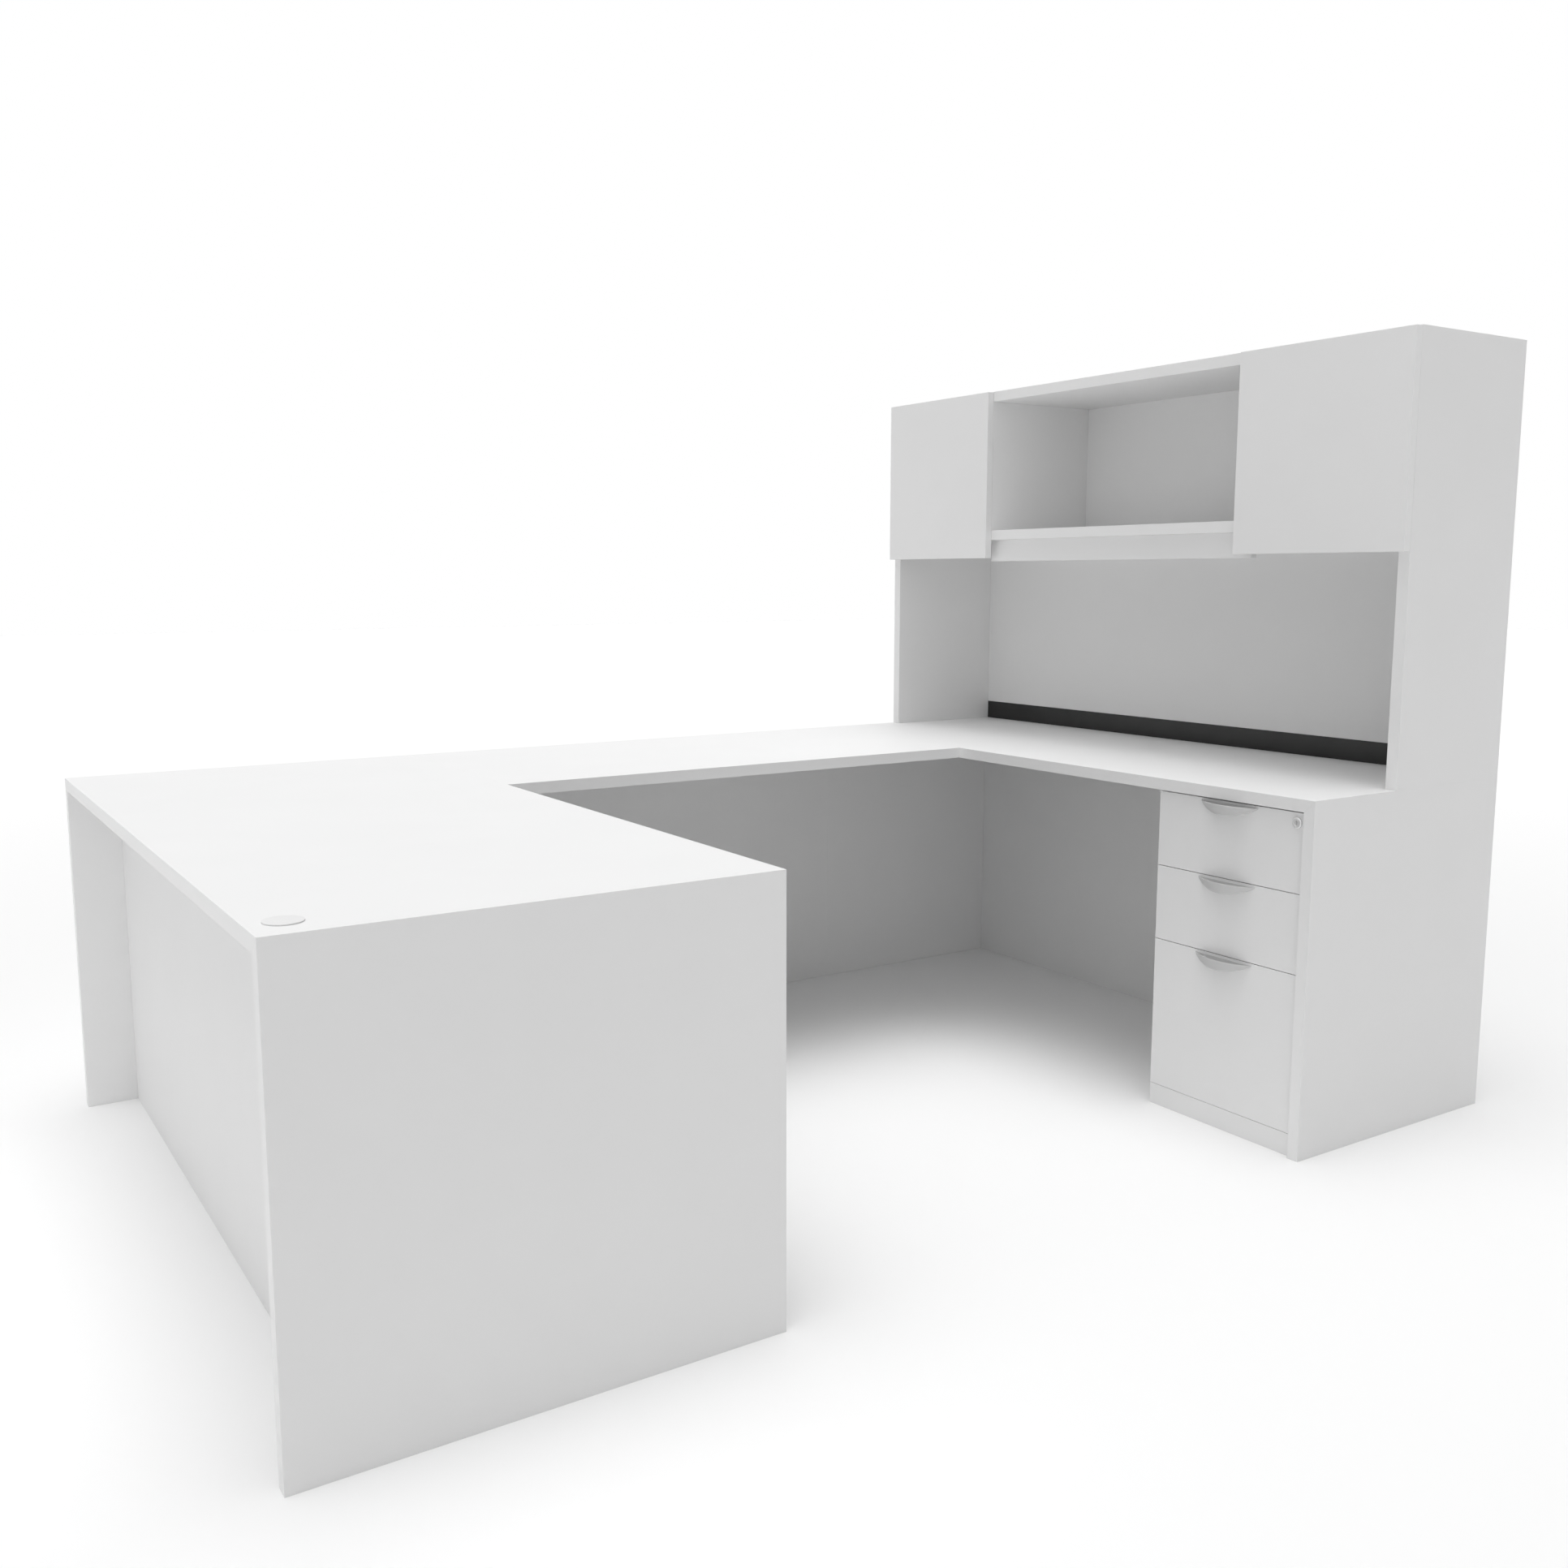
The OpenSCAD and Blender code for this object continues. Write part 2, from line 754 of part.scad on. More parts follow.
module grommet_cap() {
    color("whitesmoke") translate([grommet_x, grommet_y, top_h + flange_t]) {
        cylinder(h = cap_t - cap_bevel, r = grommet_rim_r);
        translate([0, 0, cap_t - cap_bevel])
            cylinder(h = cap_bevel, r1 = grommet_rim_r, r2 = grommet_rim_r - cap_bevel);
        translate([0, 0, -cap_spigot_h]) cylinder(h = cap_spigot_h, r = cap_spigot_r);
    }
}

// Pedestal; the credenza's end panel is its other side
module pedestal_side() {
    color("gainsboro") board([ped_x, box_y + close_gap, 0], [ped_in, y_back, under_z]);
}

module pedestal_bottom() {
    color("gainsboro") board([ped_in, box_y, plinth_h - ped_side_t], [end_in, y_back, plinth_h]);
}

module pedestal_plinth() {
    color("gainsboro") board([ped_x, front_y, 0], [end_in, box_y, plinth_h]);
}

module slide_cabinet_members() {
    color("silver") for (i = [0, 1, 2]) slide_pair(i) channel(outer_channel_w, slide_h);
}

// Top drawer, whose front is also bored for the lock
module top_drawer_front() {
    color("whitesmoke") difference() {
        drawer_front(0);
        translate([lock_x, box_y + over, lock_z]) rotate([90, 0, 0])
            cylinder(h = front_t + 2 * over, r = lock_barrel_r + fit);
    }
}

module top_drawer_box() {
    color("white") drawer_box(0);
}

module top_drawer_bottom() {
    color("white") drawer_bottom(0);
}

module top_drawer_pull() {
    color("darkgray") drawer_pull(0);
}

module top_drawer_screws() {
    color("silver") drawer_screws(0);
}

module top_slide_middle_members() {
    color("silver") slide_middle_members(0);
}

module top_slide_drawer_members() {
    color("silver") slide_drawer_members(0);
}

// Middle drawer
module middle_drawer_front() {
    color("whitesmoke") drawer_front(1);
}

module middle_drawer_box() {
    color("white") drawer_box(1);
}

module middle_drawer_bottom() {
    color("white") drawer_bottom(1);
}

module middle_drawer_pull() {
    color("darkgray") drawer_pull(1);
}

module middle_drawer_screws() {
    color("silver") drawer_screws(1);
}

module middle_slide_middle_members() {
    color("silver") slide_middle_members(1);
}

module middle_slide_drawer_members() {
    color("silver") slide_drawer_members(1);
}

// Bottom drawer, for hanging folders
module bottom_drawer_front() {
    color("whitesmoke") drawer_front(2);
}

module bottom_drawer_box() {
    color("white") drawer_box(2);
}

module bottom_drawer_bottom() {
    color("white") drawer_bottom(2);
}

module bottom_drawer_pull() {
    color("darkgray") drawer_pull(2);
}

module bottom_drawer_screws() {
    color("silver") drawer_screws(2);
}

module bottom_slide_middle_members() {
    color("silver") slide_middle_members(2);
}

module bottom_slide_drawer_members() {
    color("silver") slide_drawer_members(2);
}

module file_rails() {
    rail_y0 = box_y + box_t;
    rail_y1 = box_end_y - box_t;
    z = box_top(2);
    color("silver") for (x = [box_x0, box_x1 - box_t]) difference() {
        board([x - rail_t, rail_y0, z - rail_h], [x + box_t + rail_t, rail_y1, z + rail_t]);
        board([x, rail_y0 - over, z - rail_h - over], [x + box_t, rail_y1 + over, z]);
    }
}

// Cam lock in the top drawer's front; every piece is turned about its own axis
module lock_housing() {
    color("gray") translate([lock_x, lock_rear_y, lock_z]) rotate([90, 0, 0]) difference() {
        union() {
            cylinder(h = lock_tail + front_t, r = lock_barrel_r);
            translate([0, 0, lock_tail + front_t]) cylinder(h = lock_rim_h, r = lock_rim_r);
        }
        translate([0, 0, -over])
            cylinder(h = lock_tail + front_t + lock_rim_h + 2 * over, r = plug_r + fit);
    }
}

module lock_plug() {
    plug_face_y = front_y - lock_rim_h + plug_face_set;
    color("silver") difference() {
        union() {
            translate([lock_x, cam_y, lock_z]) rotate([90, 0, 0])
                cylinder(h = cam_y - plug_face_y, r = plug_r);
            translate([lock_x, cam_y + cam_stub_l, lock_z]) rotate([90, 0, 0])
                cylinder(h = cam_stub_l + fit, r = cam_stub_r);
        }
        translate([lock_x, plug_face_y, lock_z]) board(
            [-key_slot_w / 2, -over, -key_slot_l / 2], [key_slot_w / 2, key_slot_d, key_slot_l / 2]
        );
    }
}

module lock_cam() {
    color("silver") translate([lock_x, cam_y + cam_t, lock_z]) rotate([90, 0, 0]) difference() {
        union() {
            cylinder(h = cam_t, r = cam_w / 2);
            board([-cam_l, -cam_w / 2, 0], [0, cam_w / 2, cam_t]);
        }
        translate([0, 0, -over]) cylinder(h = cam_t + 2 * over, r = cam_stub_r + fit);
    }
}

module lock_keeper() {
    x0 = lock_x - keeper_w / 2;
    x1 = lock_x + keeper_w / 2;
    color("silver") difference() {
        union() {
            board([x0, keeper_y, under_z - keeper_h], [x1, keeper_y + keeper_t, under_z]);
            board([x0, keeper_y, under_z - keeper_t], [x1, keeper_y + keeper_l, under_z]);
        }
        keeper_screw_places() translate([0, 0, -over])
            cylinder(h = keeper_t + 2 * over, r = screw_r + loose_fit);
    }
}

// Hutch
module hutch_right_side() {
    color("gainsboro") hutch_side();
}

module hutch_left_side() {
    color("gainsboro") mirror([1, 0, 0]) hutch_side();
}

module hutch_top() {
    color("whitesmoke") board([-hutch_in, carcass_y, roof_z], [hutch_in, y_wall, hutch_z]);
}

module hutch_shelf() {
    color("whitesmoke")
        board([-hutch_in, carcass_y, shelf_under], [hutch_in, hutch_back_y, shelf_z]);
}

module hutch_dividers() {
    color("gainsboro") both_sides()
        board([bay_in, carcass_y, shelf_z], [divider_out, hutch_back_y, roof_z]);
}

module hutch_valance() {
    color("gainsboro") board(
        [-divider_out, valance_y, shelf_under - valance_h],
        [divider_out, valance_y + valance_t, shelf_under]
    );
}

module hutch_back() {
    color("gainsboro") board([-hutch_in, hutch_back_y, strip_z], [hutch_in, y_wall, roof_z]);
}

// A channel that is open towards the wall
module cable_strip() {
    color("black") difference() {
        board([-hutch_in, hutch_back_y, top_h], [hutch_in, y_wall, strip_z]);
        board(
            [-hutch_in - over, hutch_back_y + strip_wall, top_h + strip_wall],
            [hutch_in + over, y_wall + over, strip_z - strip_wall]
        );
    }
}

// Doors on cup hinges
module right_door() {
    color("whitesmoke") door();
}

module left_door() {
    color("whitesmoke") mirror([1, 0, 0]) door();
}

module right_hinge_cups() {
    color("silver") hinge_cup_pair();
}

module left_hinge_cups() {
    color("silver") mirror([1, 0, 0]) hinge_cup_pair();
}

module hinge_arms() {
    color("silver") both_sides() each_hinge() {
        hinge_arm();
        hinge_plate();
    }
}

desk_top();
desk_right_end();
desk_left_end();
desk_modesty();
bridge_top();
bridge_modesty();
credenza_top();
credenza_right_end();
credenza_left_end();
credenza_back();
levelling_glides();
corner_brackets();
joining_plates();
fixing_screws();
hutch_dowels();
grommet_liner();
grommet_cap();
pedestal_side();
pedestal_bottom();
pedestal_plinth();
slide_cabinet_members();
top_drawer_front();
top_drawer_box();
top_drawer_bottom();
top_drawer_pull();
top_drawer_screws();
top_slide_middle_members();
top_slide_drawer_members();
middle_drawer_front();
middle_drawer_box();
middle_drawer_bottom();
middle_drawer_pull();
middle_drawer_screws();
middle_slide_middle_members();
middle_slide_drawer_members();
bottom_drawer_front();
bottom_drawer_box();
bottom_drawer_bottom();
bottom_drawer_pull();
bottom_drawer_screws();
bottom_slide_middle_members();
bottom_slide_drawer_members();
file_rails();
lock_housing();
lock_plug();
lock_cam();
lock_keeper();
hutch_right_side();
hutch_left_side();
hutch_top();
hutch_shelf();
hutch_dividers();
hutch_valance();
hutch_back();
cable_strip();
right_door();
left_door();
right_hinge_cups();
left_hinge_cups();
hinge_arms();
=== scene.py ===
"""Looks of the U-shaped desk with hutch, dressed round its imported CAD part. Metres, in the part's frame."""

from math import cos, pi, radians, sin, tan

import bmesh
import bpy
from mathutils import Matrix, Vector


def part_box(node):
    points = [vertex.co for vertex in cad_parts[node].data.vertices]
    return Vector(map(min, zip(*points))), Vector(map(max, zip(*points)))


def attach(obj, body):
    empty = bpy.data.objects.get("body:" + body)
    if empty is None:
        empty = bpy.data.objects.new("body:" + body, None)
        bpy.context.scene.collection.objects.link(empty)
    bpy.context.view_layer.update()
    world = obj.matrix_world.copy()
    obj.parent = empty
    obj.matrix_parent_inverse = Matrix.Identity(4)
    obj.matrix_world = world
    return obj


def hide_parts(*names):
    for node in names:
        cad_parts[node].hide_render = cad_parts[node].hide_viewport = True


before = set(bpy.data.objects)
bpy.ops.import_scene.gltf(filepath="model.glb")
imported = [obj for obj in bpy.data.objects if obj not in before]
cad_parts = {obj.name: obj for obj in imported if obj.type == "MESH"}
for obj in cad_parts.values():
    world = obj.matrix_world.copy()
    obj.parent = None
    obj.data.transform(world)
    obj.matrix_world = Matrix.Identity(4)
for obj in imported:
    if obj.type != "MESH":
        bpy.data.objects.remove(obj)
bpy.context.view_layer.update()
MM = 0.001

LEVELS = ("top", "middle", "bottom")
X_AXIS, Y_AXIS, Z_AXIS = Vector((1, 0, 0)), Vector((0, 1, 0)), Vector((0, 0, 1))


# Shader nodes


def feed(links, socket, value):
    """Sets a constant on the socket, or links another node's output to it."""
    if isinstance(value, (int, float)):
        socket.default_value = value
    else:
        links.new(value, socket)


def math_node(nodes, links, operation, *inputs):
    node = nodes.new("ShaderNodeMath")
    node.operation = operation
    for socket, value in zip(node.inputs, inputs):
        feed(links, socket, value)
    return node.outputs["Value"]


def map_range(nodes, links, value, *limits):
    """The value mapped from the range of the first two limits to that of the last two."""
    node = nodes.new("ShaderNodeMapRange")
    for socket, limit in zip(("From Min", "From Max", "To Min", "To Max"), limits):
        feed(links, node.inputs[socket], limit)
    links.new(value, node.inputs["Value"])
    return node.outputs["Result"]


def new_material(name, **constants):
    """A Principled material with its constant sockets set; returns it with its nodes, links and shader."""
    mat = bpy.data.materials.new(name)
    mat.use_nodes = True
    bsdf = mat.node_tree.nodes["Principled BSDF"]
    for socket, value in constants.items():
        bsdf.inputs[socket.replace("_", " ")].default_value = value
    return mat, mat.node_tree.nodes, mat.node_tree.links, bsdf


# Camera

CAMERA_PLACE = (2.6235, -1.6986, 1.1602)
CAMERA_YAW = radians(57.038)  # from +Y towards -X
CAMERA_PITCH = radians(-7.965)
IMAGE_SIDE = 1932
FOCAL_PIXELS = 1804.6
OPTICAL_CENTRE = (964.0, 962.8)  # pixels from the image's top left corner
SENSOR_MM = 36.0  # Blender takes the sensor and the lens in millimetres
FARTHEST_SEEN = 200.0


def make_camera():
    data = bpy.data.cameras.new("camera")
    data.sensor_width = SENSOR_MM
    data.lens = SENSOR_MM * FOCAL_PIXELS / IMAGE_SIDE
    data.shift_x = (IMAGE_SIDE / 2 - OPTICAL_CENTRE[0]) / IMAGE_SIDE
    data.shift_y = (OPTICAL_CENTRE[1] - IMAGE_SIDE / 2) / IMAGE_SIDE
    data.clip_end = FARTHEST_SEEN
    camera = bpy.data.objects.new("camera", data)
    camera.location = CAMERA_PLACE
    look = Vector((-sin(CAMERA_YAW), cos(CAMERA_YAW), tan(CAMERA_PITCH)))
    camera.rotation_euler = look.to_track_quat("-Z", "Y").to_euler()
    bpy.context.scene.collection.objects.link(camera)
    bpy.context.scene.camera = camera


# Light and floor

SEEN_WHITE = 1.0
SKY_STRENGTH = 0.03
# Light on a surface that faces it, fall-off, and where it comes from: its turn from -Y to +X and its height
SOFT_LIGHTS = (
    (0.83, 12, 0, radians(90)),
    (0.145, 10, radians(55), radians(26)),
    (0.18, 6, 0, radians(34)),
)
FLOOR_SIDE = 60.0
FLOOR_GREY = 0.94
FLOOR_ROUGHNESS = 0.9
SEEN_FLOOR_GREY = 0.92
NEAR_FLOOR, FAR_FLOOR = 2.5, 7.0  # distances between which the seen floor fades to the background's white


def seen_rays(nodes, links):
    """1 where the camera, a glossy or a transmitted ray sees the surface, and 0 for the light it gives."""
    path = nodes.new("ShaderNodeLightPath")
    total = path.outputs["Is Camera Ray"]
    for ray in ("Is Glossy Ray", "Is Transmission Ray"):
        total = math_node(nodes, links, "MAXIMUM", total, path.outputs[ray])
    return total


def soft_light(nodes, links, direction, strength, fall_off, turn, height):
    """A round lobe of light on the sky, the cosine from its middle raised to the fall-off."""
    facing_light = nodes.new("ShaderNodeVectorMath")
    facing_light.operation = "DOT_PRODUCT"
    facing_light.inputs[1].default_value = (sin(turn) * cos(height), -cos(turn) * cos(height), sin(height))
    links.new(direction, facing_light.inputs[0])
    cosine = math_node(nodes, links, "MAXIMUM", facing_light.outputs["Value"], 0.0)
    lobe = math_node(nodes, links, "POWER", cosine, fall_off)
    even_skies = (fall_off + 2) / 2  # strength at which a lobe lights a surface as much as an even sky of 1
    return math_node(nodes, links, "MULTIPLY", lobe, strength * even_skies)


def make_world():
    """A studio lit by an even sky and a few soft lights, which the camera sees as plain white."""
    world = bpy.data.worlds.new("studio")
    world.use_nodes = True
    nodes, links = world.node_tree.nodes, world.node_tree.links
    background = nodes["Background"]
    background.inputs["Color"].default_value = (1, 1, 1, 1)
    direction = nodes.new("ShaderNodeTexCoord").outputs["Generated"]
    light = SKY_STRENGTH
    for soft in SOFT_LIGHTS:
        light = math_node(nodes, links, "ADD", soft_light(nodes, links, direction, *soft), light)
    mix = nodes.new("ShaderNodeMix")
    links.new(seen_rays(nodes, links), mix.inputs["Factor"])
    links.new(light, mix.inputs["A"])
    mix.inputs["B"].default_value = SEEN_WHITE
    links.new(mix.outputs["Result"], background.inputs["Strength"])
    bpy.context.scene.world = world


def floor_material():
    """Pale grey for the light it gives, and a grey that fades to the background's white where it is seen."""
    mat, nodes, links, bsdf = new_material("studio_floor", Roughness=FLOOR_ROUGHNESS, Specular_IOR_Level=0.0)
    distance = nodes.new("ShaderNodeVectorMath")
    distance.operation = "LENGTH"
    links.new(nodes.new("ShaderNodeTexCoord").outputs["Object"], distance.inputs[0])
    fade = (NEAR_FLOOR, FAR_FLOOR, SEEN_FLOOR_GREY, SEEN_WHITE)
    seen_tone = map_range(nodes, links, distance.outputs["Value"], *fade)
    tone = map_range(nodes, links, seen_rays(nodes, links), 0, 1, FLOOR_GREY, seen_tone)
    links.new(tone, bsdf.inputs["Base Color"])
    return mat


def make_floor():
    mesh = bpy.data.meshes.new("floor")
    half = FLOOR_SIDE / 2
    corners = [(x, y, 0) for x, y in ((-half, -half), (half, -half), (half, half), (-half, half))]
    mesh.from_pydata(corners, [], [(0, 1, 2, 3)])
    mesh.materials.append(floor_material())
    floor = bpy.data.objects.new("floor", mesh)
    bpy.context.scene.collection.objects.link(floor)


# Materials

NOISE_RANGE = (0.3, 0.7)  # noise seldom leaves it
CLOUD_DETAIL, GRAIN_DETAIL = 3.0, 2.0
GRAIN_STRENGTH = 0.3


def noise(nodes, links, scale, detail, stretch):
    """Noise in the piece's own coordinates, so that it moves with the piece."""
    place = nodes.new("ShaderNodeTexCoord")
    mapping = nodes.new("ShaderNodeMapping")
    mapping.inputs["Scale"].default_value = stretch
    texture = nodes.new("ShaderNodeTexNoise")
    texture.inputs["Scale"].default_value = scale
    texture.inputs["Detail"].default_value = detail
    links.new(place.outputs["Object"], mapping.inputs["Vector"])
    links.new(mapping.outputs["Vector"], texture.inputs["Vector"])
    return texture.outputs["Fac"]


def colour_ramp(nodes, links, value, low, high):
    """A colour that goes from low to high over the range of the noise."""
    node = nodes.new("ShaderNodeValToRGB")
    for element, place, colour in zip(node.color_ramp.elements, NOISE_RANGE, (low, high)):
        element.position = place
        element.color = (*colour, 1)
    links.new(value, node.inputs["Fac"])
    return node.outputs["Color"]


def surface(name, low, high, rough, cloud, grain, grain_depth, stretch=(1, 1, 1), **constants):
    """A finish whose colour clouds between two tones, with fine grain in its bump and its roughness."""
    mat, nodes, links, bsdf = new_material(name, **constants)
    clouds = noise(nodes, links, cloud, CLOUD_DETAIL, stretch)
    fine = noise(nodes, links, grain, GRAIN_DETAIL, stretch)
    links.new(colour_ramp(nodes, links, clouds, low, high), bsdf.inputs["Base Color"])
    links.new(map_range(nodes, links, fine, *NOISE_RANGE, *rough), bsdf.inputs["Roughness"])
    relief = nodes.new("ShaderNodeBump")
    relief.inputs["Strength"].default_value = GRAIN_STRENGTH
    relief.inputs["Distance"].default_value = grain_depth
    links.new(fine, relief.inputs["Height"])
    links.new(relief.outputs["Normal"], bsdf.inputs["Normal"])
    return mat


def grey(value):
    return (value, value, value)


MATERIALS = {  # name, two tones, range of roughness, noise scales of clouds and grain, depth of the grain
    "laminate": surface("white_laminate", grey(0.855), grey(0.865), (0.50, 0.58), 6, 1500, 0.05 * MM),
    "edge_band": surface("white_edge_band", grey(0.862), grey(0.870), (0.40, 0.46), 9, 700, 0.02 * MM),
    "board": surface("drawer_board", grey(0.80), grey(0.82), (0.45, 0.55), 5, 900, 0.04 * MM),
    "zinc": surface("zinc_steel", grey(0.60), grey(0.70), (0.28, 0.42), 60, 500, 0.02 * MM, Metallic=1.0),
    "nickel": surface("lock_nickel", grey(0.80), grey(0.86), (0.40, 0.50), 80, 600, 0.02 * MM, Metallic=1.0),
    "grey_plastic": surface("grey_plastic", grey(0.58), grey(0.61), (0.44, 0.54), 12, 1200, 0.05 * MM),
    "white_plastic": surface("white_plastic", grey(0.775), grey(0.79), (0.38, 0.46), 12, 1200, 0.04 * MM),
    "black_plastic": surface("black_plastic", grey(0.013), grey(0.018), (0.45, 0.60), 15, 1300, 0.05 * MM),
    "nylon": surface("glide_nylon", grey(0.05), grey(0.07), (0.45, 0.55), 30, 1500, 0.05 * MM),
    "beech": surface(
        "beech", (0.55, 0.38, 0.22), (0.66, 0.48, 0.30), (0.5, 0.6), 300, 900, 0.05 * MM, stretch=(1, 1, 0.1)
    ),
}


# Meshes and pieces

SAME_POINT = 0.002 * MM  # corners nearer to each other than this are one
FLAT_ANGLE = radians(0.5)
SMOOTH_ANGLE = radians(38)
EDGE_SEGMENTS = 2
ROUND_PROFILE = 0.5  # Blender's number for a round bevel


def cad_mesh(node):
    """The CAD node's solids with their split corners joined and their flat faces whole."""
    bm = bmesh.new()
    bm.from_mesh(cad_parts[node].data)
    bmesh.ops.remove_doubles(bm, verts=bm.verts, dist=SAME_POINT)
    bmesh.ops.dissolve_limit(bm, angle_limit=FLAT_ANGLE, verts=bm.verts, edges=bm.edges)
    return bm


def solids(bm):
    """The vertices of each separate solid of the mesh."""
    seen, groups = set(), []
    for first in bm.verts:
        if first in seen:
            continue
        seen.add(first)
        stack, group = [first], []
        while stack:
            vert = stack.pop()
            group.append(vert)
            for other in (e.other_vert(vert) for e in vert.link_edges):
                if other not in seen:
                    seen.add(other)
                    stack.append(other)
        groups.append(group)
    return groups


def solid_corners(node):
    """The corners of each separate solid of a CAD node."""
    bm = cad_mesh(node)
    groups = [[v.co.copy() for v in group] for group in solids(bm)]
    bm.free()
    return groups


def extent(corners):
    """The low and the high end of the box round these corners."""
    low = Vector([min(c[k] for c in corners) for k in range(3)])
    high = Vector([max(c[k] for c in corners) for k in range(3)])
    return low, high


def facing(place, direction):
    """A place whose own Z points in that direction."""
    return Matrix.Translation(place) @ direction.to_track_quat("Z", "Y").to_matrix().to_4x4()


def round_edges(bm, radius, shortest, bluntest, sharpest=pi):
    """Rounds the edges longer than the shortest whose faces turn by an angle between the other two."""
    edges = [
        e for e in bm.edges
        if len(e.link_faces) == 2 and e.calc_length() > shortest and bluntest < e.calc_face_angle() < sharpest
    ]
    bmesh.ops.bevel(
        bm, geom=edges, offset=radius, offset_type="OFFSET", segments=EDGE_SEGMENTS, profile=ROUND_PROFILE,
        affect="EDGES", clamp_overlap=True,
    )


def add_piece(bm, name, body, keys, nodes=()):
    """Turns the mesh into a piece that rides on the body and stands for those CAD nodes; returns its mesh."""
    mesh = bpy.data.meshes.new(name)
    bm.to_mesh(mesh)
    bm.free()
    stored_normals = mesh.attributes.get("custom_normal")
    if stored_normals:  # they belong to the CAD mesh, before its edges were rounded
        mesh.attributes.remove(stored_normals)
    mesh.shade_flat()
    for key in keys:
        mesh.materials.append(MATERIALS[key])
    piece = bpy.data.objects.new(name, mesh)
    bpy.context.scene.collection.objects.link(piece)
    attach(piece, body)
    if nodes:
        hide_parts(*nodes)
    return mesh


def add_smooth_piece(bm, name, body, key, nodes=()):
    """Adds a piece whose round stretches shade round, and the corners between them sharp."""
    mesh = add_piece(bm, name, body, [key], nodes)
    mesh.shade_smooth()
    mesh.set_sharp_from_angle(angle=SMOOTH_ANGLE)


def add_built_piece(bm, name, body, key, nodes=()):
    """Adds a smooth piece whose faces were made here and still have to be turned outward."""
    bmesh.ops.recalc_face_normals(bm, faces=bm.faces)
    add_smooth_piece(bm, name, body, key, nodes)


# Boards, dressed from the CAD's own solids

EDGE_RADIUS = 0.4 * MM
SHORTEST_BOARD_EDGE = 12 * MM
BOARD_CORNER = radians(30)  # edges that turn by less than this stay as they are
MITRE_EDGE = radians(100)  # a mitre's knife edges turn further, and meet their neighbour unrounded
BROAD_FACE = 0.9  # a face whose normal follows the board's thickness by more than this isn't one of its edges
CASEWORK_BOARDS = """
    desk_top desk_right_end desk_left_end desk_modesty bridge_top bridge_modesty
    credenza_top credenza_right_end credenza_left_end credenza_back
    pedestal_side pedestal_bottom pedestal_plinth
    hutch_right_side hutch_left_side hutch_top hutch_shelf hutch_dividers hutch_valance hutch_back
""".split()


def board(node, body, face_key="laminate"):
    """A board with softened edges, laminate or plain board on its faces and a smoother band on its edges."""
    bm = cad_mesh(node)
    for group in solids(bm):
        low, high = extent([v.co for v in group])
        size = high - low
        thin = min(range(3), key=lambda k: size[k])
        for face in {f for v in group for f in v.link_faces}:
            face.material_index = 0 if abs(face.normal[thin]) > BROAD_FACE else 1
    round_edges(bm, EDGE_RADIUS, SHORTEST_BOARD_EDGE, BOARD_CORNER, MITRE_EDGE)
    add_piece(bm, f"{node}_dressed", body, (face_key, "edge_band"), [node])


def make_boards():
    for node in CASEWORK_BOARDS:
        board(node, "casework")
    for level in LEVELS:
        board(f"{level}_drawer_front", f"{level}_drawer")
        for part in ("box", "bottom"):
            board(f"{level}_drawer_{part}", f"{level}_drawer", "board")
    board("right_door", "right_hutch_door")
    board("left_door", "left_hutch_door")


# Pressed and moulded parts with softened corners, dressed from the CAD's own solids

SHORTEST_STEEL_EDGE = 3 * MM
SHORTEST_FACET = 0.2 * MM  # for round parts, whose rims are made of short edges
PRESSED_CORNER = radians(60)


def pressed(node, body, key, radius, shortest=SHORTEST_STEEL_EDGE):
    """The CAD node's own solids with their corners rounded to that radius."""
    bm = cad_mesh(node)
    round_edges(bm, radius, shortest, PRESSED_CORNER)
    add_smooth_piece(bm, f"{node}_finished", body, key, [node])


# Turned shapes

CORNER_REACH_SHARE = 0.45  # the most of a side that a softened corner takes
TIP_RADIUS = 0.001 * MM  # a ring narrower than this is one corner


def softened(points, radius, closed=False, steps=3):
    """The outline with its corners rounded off."""
    points = [Vector(p) for p in points]
    out = []
    for i, corner in enumerate(points):
        if not closed and i in (0, len(points) - 1):
            out.append(corner)
            continue
        before, after = points[i - 1] - corner, points[(i + 1) % len(points)] - corner
        reach = min(radius, before.length * CORNER_REACH_SHARE, after.length * CORNER_REACH_SHARE)
        start, end = corner + before.normalized() * reach, corner + after.normalized() * reach
        for k in range(steps + 1):
            share = k / steps
            out.append(start.lerp(corner, share).lerp(corner.lerp(end, share), share))
    return out


def join_rings(bm, rings):
    """Faces between rings of corners, of which a ring at a tip is a single corner."""
    for a, b in zip(rings, rings[1:]):
        count = max(len(a), len(b))
        for i in range(count if count > 1 else 0):
            j = (i + 1) % count
            corners = (a[i % len(a)], a[j % len(a)], b[j % len(b)], b[i % len(b)])
            bm.faces.new(list(dict.fromkeys(corners)))


def turned(bm, profile, place, segments, closed=False):
    """Turns (radius, height) pairs round the place's own Z, and returns the solid's rings of corners."""
    rings = []
    for radius, height in profile:
        count = segments if radius > TIP_RADIUS else 1
        rings.append([
            bm.verts.new(place @ Vector((radius * cos(a), radius * sin(a), height)))
            for a in (2 * pi * k / count for k in range(count))
        ])
    join_rings(bm, rings + rings[:1] if closed else rings)
    return rings


# Screws

